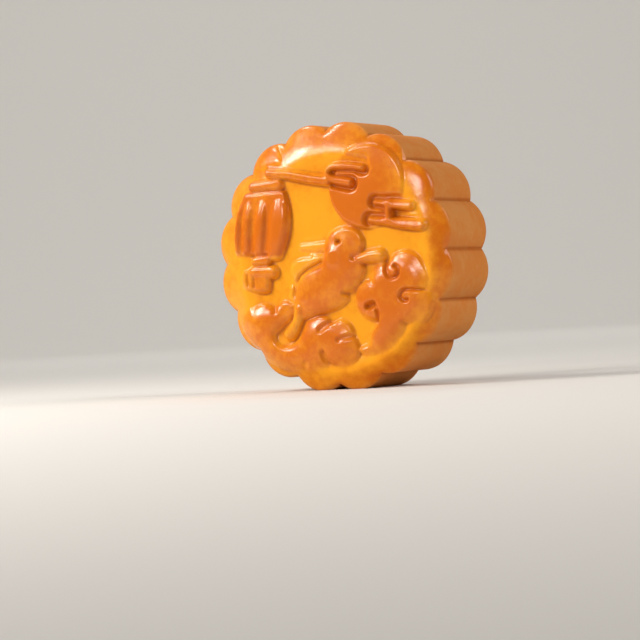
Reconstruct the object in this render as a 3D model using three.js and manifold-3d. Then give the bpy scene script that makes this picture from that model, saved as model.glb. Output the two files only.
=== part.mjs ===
import * as THREE from 'three';
import { mergeVertices } from 'three/addons/utils/BufferGeometryUtils.js';
import Module from 'manifold-3d';

const wasm = await Module();
wasm.setup();

// ---------------------------------------------------------------------------
// Driving sizes, in millimetres.
// A baked, moulded mooncake that stands on its scalloped edge: its round face
// looks along -Y, its flat base along +Y, and +Z is up.
// ---------------------------------------------------------------------------

// The scalloped round
const lobeCount = 16;
const crestRadius = 40;        // centre of the cake to the crest of a lobe
const creaseDepth = 2.4;       // how far the creases between the lobes cut in
const standingFlat = 0.25;     // dough pressed flat under the two lowest lobes

// The section from the base to the face, measured up from the base
const baseRounding = 1.8;
const wallHeight = 23.6;       // where the straight wall starts to round over
const borderHeight = 27.2;     // crest of the raised border
const borderRadius = 31.9;     // crest of the border, round the middle of the pressed face
const pressedMiddle = { u: 1.9, v: -2 };  // the block pressed the face a little off the axis
const bevelDrop = 3.2;         // outside its crest the border falls away by this much
const bevelBend = 1.5;         // 1 would fall evenly, more bends down more and more
const heldUp = 1.6;            // it falls this much less beside the moon, whose mould held it up
const heldAt = 55;             // degrees from the top of the cake towards the right
const heldSpread = 22;
const edgeSharpness = 8;       // how late it rounds over into the wall
const creaseStart = 0.55;      // share of the way to the wall where the creases start
const creaseFull = 0.97;       // and where they are as deep as in the wall
const slopeWidth = 6;          // the border's gentle slope down into the field
const fieldHeight = 26.2;      // floor that the relief stands on
const fieldSwell = 0.2;        // the floor rises a little to its middle
const swellRadius = 13;        // and is nearly level again this far out
const reliefRise = 2.6;        // tallest relief above the floor
const reliefRoot = 1.4;        // how far the relief's solids reach below it
const swellingRoot = 0.05;     // how far a swelling's rim lies below the figure's level top

// How finely the curves are cut
const segmentsPerLobe = 8;
const baseSteps = 3;
const roundingSteps = 5;
const slopeSteps = 5;
const outlineSteps = 3;        // cuts between two points of a flowing outline
const bevelSteps = 2;
const discSteps = 32;
const endSteps = 4;            // round ends of bands and bars
const swellingSegments = 12;
const swellingSteps = 3;
const eyeSteps = { round: 10, down: 6 };
const axisPoint = 1e-6;        // a radius below this is a point on the axis

const crustColour = '#d9822b';

// ---------------------------------------------------------------------------
// Solids from three.js geometry
// ---------------------------------------------------------------------------

/** A closed geometry as a manifold solid, its seams merged and empty triangles dropped. */
function toSolid(geometry) {
  const bare = geometry.clone();
  bare.deleteAttribute('normal');
  bare.deleteAttribute('uv');
  const merged = mergeVertices(bare, 1e-4);
  const corners = merged.index.array;
  const kept = [];
  for (let i = 0; i < corners.length; i += 3) {
    const [a, b, c] = [corners[i], corners[i + 1], corners[i + 2]];
    if (a !== b && b !== c && c !== a) kept.push(a, b, c);
  }
  return new wasm.Manifold(new wasm.Mesh({
    numProp: 3,
    vertProperties: new Float32Array(merged.attributes.position.array),
    triVerts: new Uint32Array(kept),
  }));
}

/** A manifold solid as a three.js geometry. */
function toGeometry(solid) {
  const mesh = solid.getMesh();
  const geometry = new THREE.BufferGeometry();
  geometry.setAttribute('position', new THREE.BufferAttribute(mesh.vertProperties, 3));
  geometry.setIndex(new THREE.BufferAttribute(mesh.triVerts, 1));
  geometry.computeVertexNormals();
  return geometry;
}

/** Joins a list of geometries into one solid. */
function join(geometries) {
  return geometries.map(toSolid).reduce((whole, piece) => whole.add(piece));
}

// ---------------------------------------------------------------------------
// The cake's body: a turned section, its rim pushed in and out into lobes
// ---------------------------------------------------------------------------

/** Distance from the axis to the lobed wall, at an angle from the top of the cake. */
function lobedRadius(angle) {
  const halfLobe = Math.PI / lobeCount;
  const creaseRadius = crestRadius - creaseDepth;
  const creaseAcross = creaseRadius * Math.cos(halfLobe);
  const creaseAlong = creaseRadius * Math.sin(halfLobe);
  const arcCentre = (creaseAcross ** 2 + creaseAlong ** 2 - crestRadius ** 2)
    / (2 * (creaseAcross - crestRadius));
  const arcRadius = crestRadius - arcCentre;
  const turn = ((angle % (2 * halfLobe)) + 2 * halfLobe) % (2 * halfLobe) - halfLobe;
  const alongRay = arcCentre * Math.cos(turn);
  return alongRay + Math.sqrt(alongRay ** 2 - arcCentre ** 2 + arcRadius ** 2);
}

/** Distance from the axis to the crest of the border, at an angle from the top of the cake. */
function borderReach(angle) {
  const { u, v } = pressedMiddle;
  const along = u * Math.sin(angle) + v * Math.cos(angle);
  const aside = u * Math.cos(angle) - v * Math.sin(angle);
  return along + Math.sqrt(borderRadius ** 2 - aside ** 2);
}

/** Reach of the wall as the shoulder meets it at an angle; its scallops grow on the way out. */
function shoulderReach(angle, over) {
  const evenReach = crestRadius - creaseDepth / 3;
  const share = THREE.MathUtils.smoothstep(over, creaseStart, creaseFull);
  return THREE.MathUtils.lerp(evenReach, lobedRadius(angle), share);
}

/** How far the shoulder has fallen at an angle, part of the way from the border's crest to the wall. */
function shoulderFall(angle, over) {
  const aside = (THREE.MathUtils.radToDeg(angle) - heldAt) / heldSpread;
  const drop = bevelDrop - heldUp * Math.exp(-(aside ** 2));
  const edge = 1 - Math.sqrt(1 - over ** edgeSharpness);
  return drop * over ** bevelBend + (borderHeight - wallHeight - drop) * edge;
}

/** The section at the foot of the cake, from the middle of the base round to the middle of the face. */
function sectionPoints() {
  const points = [new THREE.Vector2(0, 0)];
  for (let i = 0; i <= baseSteps; i++) {
    const turn = (i / baseSteps) * Math.PI / 2;
    points.push(new THREE.Vector2(
      crestRadius - baseRounding + baseRounding * Math.sin(turn),
      baseRounding - baseRounding * Math.cos(turn),
    ));
  }
  for (let i = 0; i <= roundingSteps; i++) {
    const over = Math.cos((i / roundingSteps) * Math.PI / 2);
    points.push(new THREE.Vector2(
      borderRadius + (crestRadius - borderRadius) * over,
      borderHeight - shoulderFall(-Math.PI, over),
    ));
  }
  for (let i = 1; i <= slopeSteps; i++) {
    const across = i / slopeSteps;
    const fall = (1 - Math.cos(across * Math.PI)) / 2;
    points.push(new THREE.Vector2(
      borderRadius - slopeWidth * across,
      borderHeight - (borderHeight - fieldHeight) * fall,
    ));
  }
  const swellThere = fieldSwell * (1 - (swellRadius / crestRadius) ** 2);
  points.push(new THREE.Vector2(swellRadius, fieldHeight + swellThere));
  points.push(new THREE.Vector2(0, fieldHeight + fieldSwell));
  return points;
}

/** Where a point of the section lies at an angle: its distance from the axis, and its height. */
function bodyPlace(angle, radius, height) {
  if (height < wallHeight) return [Math.max(radius - crestRadius + lobedRadius(angle), 0), height];
  const crest = borderReach(angle);
  if (radius <= borderRadius) return [(crest * radius) / borderRadius, height];
  const over = Math.min((radius - borderRadius) / (crestRadius - borderRadius), 1);
  const reach = crest + (shoulderReach(angle, over) - crest) * over;
  return [reach, borderHeight - shoulderFall(angle, over)];
}

/** The body, its axis along Y, the base at y = 0 and the face towards -Y. */
function bodyGeometry() {
  const turned = sectionPoints().map((p) => new THREE.Vector2(p.x, -p.y));
  const geometry = new THREE.LatheGeometry(turned.reverse(), lobeCount * segmentsPerLobe);
  const position = geometry.attributes.position;
  for (let i = 0; i < position.count; i++) {
    const x = position.getX(i);
    const z = position.getZ(i);
    const radius = Math.hypot(x, z);
    if (radius < axisPoint) continue;
    const [reach, height] = bodyPlace(Math.atan2(x, z), radius, -position.getY(i));
    position.setXYZ(i, (x * reach) / radius, -height, (z * reach) / radius);
  }
  return geometry;
}

// ---------------------------------------------------------------------------
// Relief shapes. Each is drawn on the face, u to the right and v up from the
// middle of the cake, and raised by a share of the tallest relief.
// ---------------------------------------------------------------------------

/** A flat shape inside a closed curve. */
function filled(curve, steps) {
  return new THREE.Shape(curve.getPoints(steps).slice(0, -1));
}

/** A smooth line through a few points of the face. */
function smoothLine(points, closed) {
  const corners = points.map(([u, v]) => new THREE.Vector3(u, v, 0));
  return new THREE.CatmullRomCurve3(corners, closed, 'catmullrom', 0.5);
}

/** A shape with a flowing outline. */
function flowing(points) {
  return filled(smoothLine(points, true), points.length * outlineSteps);
}

/** A band with round ends along a smooth line, its width running from the first to the last given. */
function band({ line, widths }) {
  const middle = smoothLine(line, false);
  const steps = line.length === 2 ? 1 : (line.length - 1) * outlineSteps;
  const [first, last] = [widths[0] / 2, widths[widths.length - 1] / 2];
  const sides = [];
  for (let i = 0; i <= steps; i++) {
    const at = middle.getPoint(i / steps);
    const heading = middle.getTangent(i / steps);
    const half = THREE.MathUtils.lerp(first, last, i / steps);
    sides.push({ at, half, angle: Math.atan2(heading.y, heading.x) });
  }
  const shape = new THREE.Shape();
  const start = sides[0];
  for (let i = 0; i <= endSteps; i++) {
    const turn = start.angle + Math.PI * (0.5 + i / endSteps);
    const corner = [start.at.x + start.half * Math.cos(turn), start.at.y + start.half * Math.sin(turn)];
    if (i === 0) shape.moveTo(...corner);
    else shape.lineTo(...corner);
  }
  for (const { at, half, angle } of sides.slice(1, -1)) {
    shape.lineTo(at.x + half * Math.sin(angle), at.y - half * Math.cos(angle));
  }
  const end = sides[steps];
  for (let i = 0; i <= endSteps; i++) {
    const turn = end.angle + Math.PI * (i / endSteps - 0.5);
    shape.lineTo(end.at.x + end.half * Math.cos(turn), end.at.y + end.half * Math.sin(turn));
  }
  for (const { at, half, angle } of sides.slice(1, -1).reverse()) {
    shape.lineTo(at.x - half * Math.sin(angle), at.y + half * Math.cos(angle));
  }
  return shape;
}

/** Turns a geometry modelled with its height along +Z so that it rises from the face. */
function onFace(geometry) {
  geometry.rotateX(Math.PI / 2);
  geometry.translate(0, -fieldHeight, 0);
  return geometry;
}

/** A shape raised from the face. Its top edge rounds over, so far down and so far in. */
function raised(shape, rise, rounding, inset = rounding) {
  const height = reliefRise * rise;
  const geometry = new THREE.ExtrudeGeometry(shape, {
    depth: height + reliefRoot - rounding,
    bevelEnabled: true,
    bevelThickness: rounding,
    bevelSize: inset,
    bevelOffset: -inset,
    bevelSegments: bevelSteps,
  });
  geometry.translate(0, 0, -reliefRoot);
  return onFace(geometry);
}

/** A shape that is pressed into the relief, down to a share of its height. */
function pressed(shape, floor) {
  const depth = reliefRise * (1 - floor) + reliefRoot;
  const geometry = new THREE.ExtrudeGeometry(shape, { depth, bevelEnabled: false });
  geometry.translate(0, 0, reliefRise * floor);
  return onFace(geometry);
}

/** A shallow oval swelling on the level top of a figure, up to the tallest relief. */
function swelling({ u, v, across, along, turn = 0 }, level) {
  const bottom = reliefRise * level - swellingRoot;
  const outline = [new THREE.Vector2(0, -reliefRoot), new THREE.Vector2(1, -reliefRoot)];
  for (let i = 0; i <= swellingSteps; i++) {
    const reach = 1 - i / swellingSteps;
    outline.push(new THREE.Vector2(reach, reliefRise - (reliefRise - bottom) * reach ** 2));
  }
  const geometry = new THREE.LatheGeometry(outline, swellingSegments);
  geometry.rotateX(Math.PI / 2);
  geometry.scale(across, along, 1);
  geometry.rotateZ(THREE.MathUtils.degToRad(turn));
  geometry.translate(u, v, 0);
  return onFace(geometry);
}

/** A figure: its outline raised, its top swollen in ovals and creased along lines. */
function figure({ outline, rise, rounding, inset, ovals, creases, creaseFloor }) {
  const swellings = ovals.map((oval) => swelling(oval, rise));
  const body = join([raised(flowing(outline), rise, rounding, inset), ...swellings]);
  return body.subtract(join(creases.map((crease) => pressed(band(crease), creaseFloor))));
}

// ---------------------------------------------------------------------------
// The relief, motif by motif
// ---------------------------------------------------------------------------

const moon = { u: 14.2, v: 19.9, radius: 12.5, rise: 0.9, rounding: 1.2, lean: 0.03, level: 4 };
const cloudRise = 0.9;
const cloudRounding = 0.7;
const channelWidth = 0.9;      // between the moon and the clouds on it

const leftCloudBands = [{
  line: [[13.6, 25.2], [8, 26.1], [3.6, 26.2], [2, 24.9], [3, 23], [6.2, 21.9], [9, 21.2]],
  widths: [2.2, 2.6],
}];
const leftCloudPocket = { line: [[1, 30], [9.5, 27.8], [14.2, 26.9]], widths: [4, 2] };

const rightCloudBands = [
  { line: [[17.2, 14.9], [21, 14.3]], widths: [2, 2.2] },
  { line: [[21.6, 14.1], [28.4, 13.3]], widths: [3, 3.4] },
  { line: [[21.4, 14], [21.5, 9.6]], widths: [2.5, 2.5] },
  { line: [[15.3, 9.9], [24, 8.8]], widths: [2.4, 3.2] },
  { line: [[23.6, 8.7], [31.7, 7.4]], widths: [3.1, 3.9] },
];

/** Room for a cloud band and the channel round it, as a straight piece for each stretch of its line. */
function cloudRoom({ line, widths }) {
  const room = widths.map((width) => width + 2 * channelWidth);
  return line.slice(1).map((to, i) => band({ line: [line[i], to], widths: room }));
}

/**
 * The full moon, cut back round the two bands of cloud that drift across it. It leans back to the
 * right, so that it runs out level with the border.
 */
function moonRelief() {
  const clouds = [...leftCloudBands, ...rightCloudBands];
  const disc = raised(
    filled(new THREE.EllipseCurve(moon.u, moon.v, moon.radius, moon.radius), discSteps),
    moon.rise,
    moon.rounding,
  );
  const place = disc.attributes.position;
  for (let i = 0; i < place.count; i++) {
    place.setY(i, place.getY(i) + moon.lean * Math.max(place.getX(i) - moon.level, 0));
  }
  const cut = join([...clouds.flatMap(cloudRoom), band(leftCloudPocket)].map((room) => pressed(room, 0)));
  const bands = clouds.map((cloud) => raised(band(cloud), cloudRise, cloudRounding));
  return toSolid(disc).subtract(cut).add(join(bands));
}

/** The carrying pole that runs from the cloud to the lantern, and the knob that it hooks under. */
function poleRelief() {
  const pole = band({ line: [[-18.6, 26.1], [1.5, 22.2]], widths: [3, 3.3] });
  const knob = flowing([
    [-14.8, 28.6], [-15.2, 31], [-16.6, 33], [-19.6, 32.8], [-23.6, 29.8], [-24.2, 27.4], [-21.6, 27.4],
    [-18.4, 28],
  ]);
  return join([raised(pole, 0.88, 1), raised(knob, 0.72, 1, 0.6)]);
}

const ribTop = 21.3;
const ribGap = 0.12;
const ribRounding = 1.1;       // how far a rib falls away to its sides
const ribFlatness = 4;         // 2 is evenly round, more is flatter along the middle
const barrelFall = { top: 1.8, foot: 0.7, bend: 2.2 };  // how the barrel curves back to its ends
const ribSteps = { across: 6, along: 8 };
const ribSides = [             // u of each joint between the ribs, at the foot, the middle and the top
  [-31.8, -31.7, -28.2],
  [-29.9, -29.4, -26.8],
  [-25.9, -25.2, -23.1],
  [-21.6, -20, -18.3],
  [-16.2, -12.3, -13.3],
];
const ribFeet = [2.4, 1.9, 1.4, -0.2];

/** Where a joint between two ribs lies at height v: an arc through its foot, middle and top. */
function ribSide([foot, middle, top], v) {
  const share = Math.max(v / ribTop, 0);
  return foot + (4 * middle - 3 * foot - top) * share + (2 * foot + 2 * top - 4 * middle) * share ** 2;
}

/** One rib: a block bent between its two joints, its top rounded and curved back to the ends. */
function curvedRib(leftJoint, rightJoint, foot) {
  const rib = new THREE.BoxGeometry(2, 1, 1, ribSteps.across, ribSteps.along, 1);
  const place = rib.attributes.position;
  for (let i = 0; i < place.count; i++) {
    const aside = place.getX(i);
    const v = THREE.MathUtils.lerp(foot, ribTop, place.getY(i) + 0.5);
    const left = ribSide(leftJoint, v) + ribGap;
    const right = ribSide(rightJoint, v) - ribGap;
    const end = (2 * v) / ribTop - 1;
    const deepest = end > 0 ? barrelFall.top : barrelFall.foot;
    const fall = deepest * Math.min(Math.abs(end), 1) ** barrelFall.bend;
    const top = reliefRise - fall - ribRounding * Math.abs(aside) ** ribFlatness;
    const u = THREE.MathUtils.lerp(left, right, (aside + 1) / 2);
    place.setXYZ(i, u, v, place.getZ(i) > 0 ? top : -reliefRoot);
  }
  return onFace(rib);
}

/** A barrel-shaped ribbed lantern, with its cap, neck, knot and tassel. */
function lanternRelief() {
  const ribs = ribFeet.map((foot, rib) => curvedRib(ribSides[rib], ribSides[rib + 1], foot));
  const cap = band({ line: [[-25, 22.5], [-15.6, 22.6]], widths: [3, 3.8] });
  const neck = band({ line: [[-25.2, 0.2], [-21.3, 0.4]], widths: [3.2, 3.4] });
  const knot = band({ line: [[-26, -3.1], [-19.4, -3.3]], widths: [4, 4.2] });
  const tassel = flowing([
    [-29.6, -2.6], [-29.7, -7.6], [-26, -9], [-22.4, -9.6], [-20.6, -8.2], [-20.6, -3.2], [-25, -2],
  ]);
  return join([
    ...ribs,
    raised(cap, 0.78, 1),
    raised(neck, 0.7, 1),
    raised(knot, 0.8, 1.2),
    raised(tassel, 0.7, 1),
  ]);
}

/** The rabbit: head and body with an eye, two ears laid back, forepaw, hind foot and tail. */
function rabbitRelief() {
  const trunk = figure({
    outline: [
      [-1.3, 3.2], [-0.2, 6], [2.6, 8], [6.5, 8.6], [10.4, 7.2], [12.3, 4.2], [11.8, 1.4], [10.9, -0.8],
      [12.2, -3.8], [11.3, -6.6], [8.4, -10.1], [6.4, -11.4], [5.9, -13.2], [2.5, -15.4], [-4.5, -17],
      [-10.4, -18], [-12.1, -14.2], [-12, -9.6], [-10.5, -5.7], [-7.4, -3.5], [-3.2, -2], [-1.7, -0.1],
    ],
    rise: 0.8,
    rounding: 1.3,
    inset: 1.3,
    ovals: [
      { u: 5.6, v: 3.1, across: 5.2, along: 4.2 },
      { u: -1.4, v: -8.8, across: 9.6, along: 5.6, turn: 24 },
    ],
    creases: [
      { line: [[7.6, -11.8], [4.8, -10.8]], widths: [1.3, 0.8] },
      { line: [[12.2, -1], [9.2, -0.6]], widths: [1.3, 0.8] },
    ],
    creaseFloor: 0.5,
  });
  const ear = flowing([
    [-1.4, 0.5], [-4.4, 1.3], [-8.6, 0.9], [-12.2, -0.3], [-13.4, -2.8], [-12.7, -5.8], [-11.2, -7.6],
    [-9.6, -5.4], [-6.6, -3.4], [-2.8, -2],
  ]);
  const limbs = join([
    raised(ear, 0.42, 0.8, 0.6),
    raised(band({ line: [[-1, 3.2], [-9.2, 3.4]], widths: [3.4, 2.4] }), 0.27, 0.6),
    raised(band({ line: [[10.2, -1.3], [17.2, -0.6]], widths: [3.2, 4.7] }), 0.8, 1.3),
    raised(band({ line: [[-10.6, -14.6], [-12.1, -19], [-14.6, -22]], widths: [3.8, 4.3] }), 0.73, 1.2),
    raised(band({ line: [[-13.1, -8.5], [-13.4, -11], [-12.7, -13.6]], widths: [1.9, 2] }), 0.31, 0.6),
  ]);
  const eyePit = { u: 4.1, v: 4.3, radius: 0.95 };
  const eye = new THREE.SphereGeometry(eyePit.radius, eyeSteps.round, eyeSteps.down);
  eye.translate(eyePit.u, eyePit.v, reliefRise);
  return trunk.add(limbs).subtract(toSolid(onFace(eye)));
}

/** The bank of cloud under the rabbit: one swelling mass that runs out into the border. */
function cloudBankRelief() {
  return figure({
    outline: [
      [-31, -15.6], [-27.5, -13.2], [-23.5, -12.4], [-19.8, -13.5], [-16.5, -12.1], [-13.2, -12.8],
      [-12.5, -15], [-14.3, -17.6], [-16.8, -19.6], [-19.2, -22], [-18.6, -24.4], [-15.5, -25.3],
      [-12.2, -23.6], [-10.1, -20.2], [-8.7, -18.4], [-4.5, -17.2], [-1.2, -17.7], [0.1, -19.2],
      [3.2, -18.4], [6.1, -20], [7.4, -22.8], [7.6, -24.2], [8.9, -27.5], [7.8, -31], [3.6, -33],
      [-0.6, -32.3], [-5, -33.8], [-14, -33.6], [-22, -31], [-29, -25], [-32.4, -19],
    ],
    rise: 0.8,
    rounding: 1.2,
    inset: 0.65,
    ovals: [
      { u: -23.4, v: -18.6, across: 6.2, along: 4.6 },
      { u: -18.4, v: -28.8, across: 7.6, along: 2.6, turn: -22 },
      { u: -6, v: -23.6, across: 4.6, along: 5 },
      { u: 2.2, v: -21.6, across: 3.6, along: 1.9 },
      { u: 4, v: -28.2, across: 3.4, along: 3.2 },
    ],
    creases: [
      { line: [[0.8, -17.4], [-1, -19.5], [-3.6, -21.2]], widths: [1.6, 0.9] },
      { line: [[9.4, -23.7], [5.4, -23.7], [2.6, -24.4]], widths: [1.4, 0.8] },
      { line: [[-3, -27.8], [-2.4, -29.8], [-0.6, -32], [2.4, -34.4]], widths: [0.9, 1.5] },
      { line: [[-20.2, -11.6], [-19.2, -15]], widths: [1.4, 0.8] },
    ],
    creaseFloor: 0.6,
  });
}

/** The curling cloud at the right: lobes with curled-in ends over a broad stem with a hooked tip. */
function curlingCloudRelief() {
  return figure({
    outline: [
      [19.7, -2.4], [21.6, -0.5], [25.5, 0.4], [29.6, -1.2], [32.2, -4.8], [33.4, -8.2], [32.9, -10.8],
      [33.6, -13.8], [33.1, -17.4], [30.4, -20.6], [25.8, -21.4], [23.8, -24], [19.8, -28.1], [14, -29.7],
      [9.6, -29], [8.6, -27.2], [11.6, -25.9], [12.3, -23.6], [13.5, -21.4], [15.4, -19.8], [12, -18.9],
      [9.3, -16.4], [8.2, -13], [9.3, -9.4], [12.2, -7.5], [13.9, -6.3], [15.3, -3.7], [17.5, -2.5],
    ],
    rise: 0.8,
    rounding: 1.2,
    inset: 0.65,
    ovals: [
      { u: 27.4, v: -5.4, across: 3.8, along: 4 },
      { u: 12.4, v: -11.8, across: 3, along: 2.8 },
      { u: 19.8, v: -13.4, across: 2.8, along: 5.2 },
      { u: 28.8, v: -16.4, across: 3.2, along: 3.4 },
      { u: 19.2, v: -22.6, across: 3.4, along: 4.4, turn: -30 },
    ],
    creases: [
      {
        line: [
          [19.4, -1.4], [19.6, -5], [20.7, -6.9], [22.3, -7.3], [23.6, -6.3], [23.8, -4.8], [22.6, -3.8],
        ],
        widths: [1.3, 1],
      },
      {
        line: [[34.4, -11.5], [30, -11.2], [26.6, -10.9], [24.6, -11.6], [24.4, -13.3], [26.2, -14]],
        widths: [1.3, 1],
      },
      { line: [[12.9, -15.2], [15, -14.8], [16.2, -16.4], [16.3, -18.2], [15, -20.8]], widths: [2.2, 1.1] },
    ],
    creaseFloor: 0.35,
  });
}

// ---------------------------------------------------------------------------
// The whole cake
// ---------------------------------------------------------------------------

/** The body with its relief, flattened a little where it stands, its lowest point at z = 0. */
function mooncakeGeometry() {
  const reliefs = [
    moonRelief(), poleRelief(), lanternRelief(), rabbitRelief(), cloudBankRelief(), curlingCloudRelief(),
  ];
  const cake = reliefs.reduce((whole, relief) => whole.add(relief), toSolid(bodyGeometry()));

  const whole = new THREE.Box3().setFromBufferAttribute(toGeometry(cake).attributes.position);
  const ground = whole.min.z + standingFlat;
  const slab = new THREE.BoxGeometry(3 * crestRadius, 3 * crestRadius, crestRadius);
  slab.translate(0, 0, ground - crestRadius / 2);
  const geometry = toGeometry(cake.subtract(toSolid(slab)));
  geometry.translate(0, -(whole.min.y + whole.max.y) / 2, -ground);
  return geometry;
}

const group = new THREE.Group();
const mooncake = new THREE.Mesh(
  mooncakeGeometry(),
  new THREE.MeshStandardMaterial({ color: crustColour, roughness: 0.45, metalness: 0 }),
);
mooncake.name = 'mooncake';
group.add(mooncake);

export default group;
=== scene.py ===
import math

import bpy
import numpy as np
from mathutils import Matrix, Vector


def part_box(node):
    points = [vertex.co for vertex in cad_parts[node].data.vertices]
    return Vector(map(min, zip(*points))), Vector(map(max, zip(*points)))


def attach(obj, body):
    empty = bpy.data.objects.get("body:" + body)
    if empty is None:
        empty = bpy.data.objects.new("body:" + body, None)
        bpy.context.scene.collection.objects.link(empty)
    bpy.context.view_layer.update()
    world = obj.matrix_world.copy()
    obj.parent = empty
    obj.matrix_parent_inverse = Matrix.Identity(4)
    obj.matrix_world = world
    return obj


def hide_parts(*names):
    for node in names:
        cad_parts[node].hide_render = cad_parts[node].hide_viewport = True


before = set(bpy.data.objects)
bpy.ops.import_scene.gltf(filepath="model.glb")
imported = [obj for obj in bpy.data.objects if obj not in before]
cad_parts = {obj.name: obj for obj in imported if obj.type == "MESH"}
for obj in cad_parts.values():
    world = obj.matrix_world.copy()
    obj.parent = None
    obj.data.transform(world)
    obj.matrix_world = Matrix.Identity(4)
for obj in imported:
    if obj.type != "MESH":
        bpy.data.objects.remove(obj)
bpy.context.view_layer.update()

# -----------------------------------------------------------------------------
# The pressed round. A ball of pastry round a dense paste is pressed into a mould
# with sixteen scallops, which leaves sharp creases up the wall, a soft shoulder,
# and a raised border round a sunken field. The cake stands on two of its lobes.
# -----------------------------------------------------------------------------
MM = 0.001
cake_low, cake_high = (np.array(corner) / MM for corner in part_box("mooncake"))

lobes = 16
crease_share = 0.06            # depth of a crease, as a share of the crest radius
base_rounding = 1.8
wall_height = 23.6
border_height = 27.2
border_radius = 31.9           # crest of the border, round the middle of the pressed face
pressed_u, pressed_v = 1.9, -2.0   # the block pressed the face a little off the cake's own middle
bevel_drop = 3.2               # outside its crest the border falls away by this much
bevel_bend = 1.5               # 1 falls evenly, more bends down more and more
held_up = 1.6                  # beside the moon it falls by this much less, held up by the mould
held_at = math.radians(35)     # the angle of that stretch, turned from the right
held_spread = math.radians(22)
edge_sharpness = 8             # how late the shoulder rounds over into the wall
crease_start = 0.55            # share of the way to the wall where the creases start
crease_full = 0.97             # and where they are as deep as in the wall
slope_width = 6.0
field_height = 26.2
field_swell = 0.2
standing_flat = 0.25
skin_clearance = 0.03          # keeps the visible skin just inside the solid's own box
skin_top = cake_high[1] - cake_low[1] - skin_clearance

half_lobe = math.pi / lobes
crease_across = (1 - crease_share) * math.cos(half_lobe)
crease_along = (1 - crease_share) * math.sin(half_lobe)
arc_centre = (crease_across ** 2 + crease_along ** 2 - 1) / (2 * (crease_across - 1))
arc_radius = 1 - arc_centre
lobed_reach = arc_centre * math.cos(half_lobe) + arc_radius
crest_radius = ((cake_high[0] - cake_low[0]) / 2 - skin_clearance) / lobed_reach
axis_height = lobed_reach * crest_radius - standing_flat


def lobed_radius(angle):
    """Distance from the cake's axis to the scalloped wall, with a crease straight up at angle 0."""
    turn = np.mod(angle, 2 * half_lobe) - half_lobe
    along = arc_centre * np.cos(turn)
    return crest_radius * (along + np.sqrt(along ** 2 - arc_centre ** 2 + arc_radius ** 2))


def smoothstep(value):
    """0 below 0, 1 above 1, and a smooth S between."""
    share = np.clip(value, 0, 1)
    return share * share * (3 - 2 * share)


def border_reach(angle):
    """Distance from the cake's axis to the crest of the border, the angle turned from the right."""
    aside = pressed_u * np.sin(angle) - pressed_v * np.cos(angle)
    along = pressed_u * np.cos(angle) + pressed_v * np.sin(angle)
    return along + np.sqrt(border_radius ** 2 - aside ** 2)


def shoulder_reach(angle, over):
    """Reach of the wall as the shoulder meets it at an angle. Its scallops grow on the way out."""
    even_reach = (1 - crease_share / 3) * crest_radius
    grown = smoothstep((over - crease_start) / (crease_full - crease_start))
    return even_reach + (lobed_radius(math.pi / 2 - angle) - even_reach) * grown


def shoulder_fall(over, angle):
    """How far the shoulder has fallen, a share of the way from the border's crest to the wall."""
    drop = bevel_drop - held_up * np.exp(-((angle - held_at) / held_spread) ** 2)
    edge = 1 - np.sqrt(1 - over ** edge_sharpness)
    return drop * over ** bevel_bend + (border_height - wall_height - drop) * edge


def way_over(u, v):
    """Share of the way from the border's crest to the wall, 0 anywhere inside the crest."""
    angle = np.arctan2(v, u)
    crest = border_reach(angle)
    even_share = np.clip((np.hypot(u, v) - crest) / (shoulder_reach(angle, 0) - crest), 0, 1)
    return np.clip((np.hypot(u, v) - crest) / (shoulder_reach(angle, even_share) - crest), 0, 1)


def fall_at(u, v):
    """How far the shoulder has fallen at a place on the face."""
    return shoulder_fall(way_over(u, v), np.arctan2(v, u))


def bare_height(u, v):
    """Height of the face above the base without its figures: field, slope, border and shoulder."""
    pressed_radius = np.hypot(u - pressed_u, v - pressed_v)
    across = np.clip((border_radius - pressed_radius) / slope_width, 0, 1)
    fall = (1 - np.cos(across * math.pi)) / 2
    swell = field_swell * (1 - np.clip(pressed_radius / (border_radius - slope_width), 0, 1) ** 2)
    return border_height - (border_height - field_height) * fall + swell - fall_at(u, v)


# -----------------------------------------------------------------------------
# The carving of the mould. All the figures are cut in one wooden block, so they
# are worked out together on one fine sheet: u runs to the right and v up from the
# middle of the face, and heights are millimetres above the field.
# -----------------------------------------------------------------------------
sheet_reach = 41.0             # half of its side
sheet_step = 0.16              # between two of its points
sheet_line = np.arange(-sheet_reach, sheet_reach + sheet_step / 2, sheet_step)
sheet_u, sheet_v = np.meshgrid(sheet_line, sheet_line)
deep_floor = -5.0              # stands for no carving at all

# -----------------------------------------------------------------------------
# The full moon, a low round plateau that runs up onto the border, with two bands
# of cloud across it. The mould parts each band from the moon by a narrow channel.
# -----------------------------------------------------------------------------
moon_rise = 2.35
moon_level = 4.0               # from here on the moon leans back to the right
moon_lean = 0.03
moon_bend = 0.25               # it also bends over the shoulder, with this share of its fall
band_rise = 2.5
band_slope = 0.28              # the bands are cut shallower up their upper left side
upper_left = (-0.42, 0.91)
crisp_edge = 0.45              # and end there in an edge of this width
bar_margin = 0.3               # the right band is sloped bar by bar, each with this much round it
off_the_bar = 9.0              # stands for a place too far from a bar to be sloped with it
channel_width = 0.9
channel_floor = 0.5
freed_side = (0.8, 0.6)        # on the side that leaves the mould last an edge stays crisper
freed_softness = 0.6
freed_narrower = 0.6           # and is this share narrower than elsewhere


def oval(u, v, across, along):
    """Signed distance to an oval's outline, negative inside."""
    x, y = sheet_u - u, sheet_v - v
    size = np.hypot(x / across, y / along) + 1e-6
    slope = np.hypot(x / across ** 2, y / along ** 2) + 1e-6
    return np.maximum(size * (size - 1) / slope, -min(across, along))


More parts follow.
